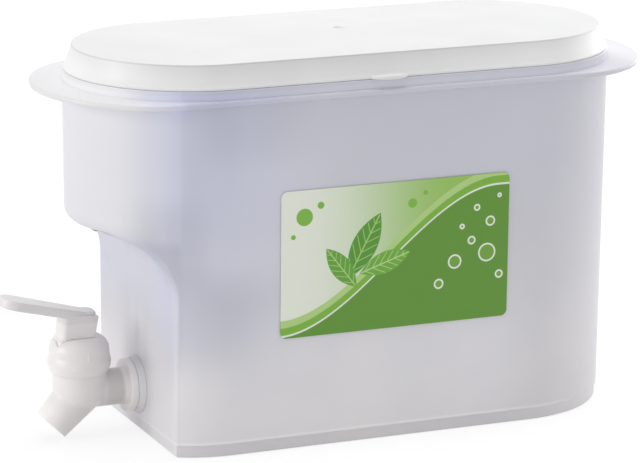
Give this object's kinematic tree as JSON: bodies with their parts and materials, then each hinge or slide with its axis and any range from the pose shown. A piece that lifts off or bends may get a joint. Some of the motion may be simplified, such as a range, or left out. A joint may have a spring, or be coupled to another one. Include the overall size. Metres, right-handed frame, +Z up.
{
  "type": "fridge water jug with tap",
  "caption": "Long round-ended water container with a press-in lid, end grips and a label panel, and a lever-operated tap in a recess under its overhanging end.",
  "frame": {"origin": "on the flat base, under the middle of the container's straight sides", "axes": "+Z up, -X towards the tap, -Y the side with the label"},
  "size_m": [0.3195, 0.1232, 0.1847],
  "materials": {
    "container": "frosted clear-white moulded polypropylene",
    "label": "printed film",
    "lid": "satin white moulded polypropylene",
    "tap_body": "smooth milky white moulding",
    "tap_bonnet": "smooth milky white moulding",
    "tap_lever": "smooth milky white moulding",
    "lever_pin": "drawn stainless wire",
    "outer_washer": "clear-white silicone",
    "inner_washer": "clear-white silicone",
    "back_nut": "smooth milky white moulding",
    "valve_stem": "smooth milky white moulding",
    "valve_plug": "clear-white silicone",
    "stem_seal": "clear-white silicone",
    "stem_spring": "drawn stainless spring wire"
  },
  "bodies": {
    "jug": {"container": "container", "label": "label", "tap_body": "tap_body", "tap_bonnet": "tap_bonnet", "lever_pin": "lever_pin", "outer_washer": "outer_washer", "inner_washer": "inner_washer", "back_nut": "back_nut", "stem_seal": "stem_seal", "stem_spring": "stem_spring"},
    "lid": {"lid": "lid"},
    "lever": {"tap_lever": "tap_lever"},
    "valve": {"valve_stem": "valve_stem", "valve_plug": "valve_plug"}
  },
  "joints": [
    {"name": "lid_lift", "type": "slide", "parent": "jug", "child": "lid", "axis": [0, 0, 1], "range_m": [0, 0.06]},
    {"name": "lever_press", "type": "hinge", "parent": "jug", "child": "lever", "pos_m": [-0.1367, 0, 0.0441], "axis": [0, -1, 0], "range_deg": [0, 18], "stiffness_Nm_per_rad": 0.25, "springref_deg": -8.59},
    {"name": "stem_lift", "type": "slide", "parent": "jug", "child": "valve", "axis": [0, 0, 1], "range_m": [0, 0.0023], "deforming": ["stem_spring"]}
  ],
  "couplings": [
    {"joint": "stem_lift", "follows": "lever_press", "m_per_rad": 0.0072}
  ]
}
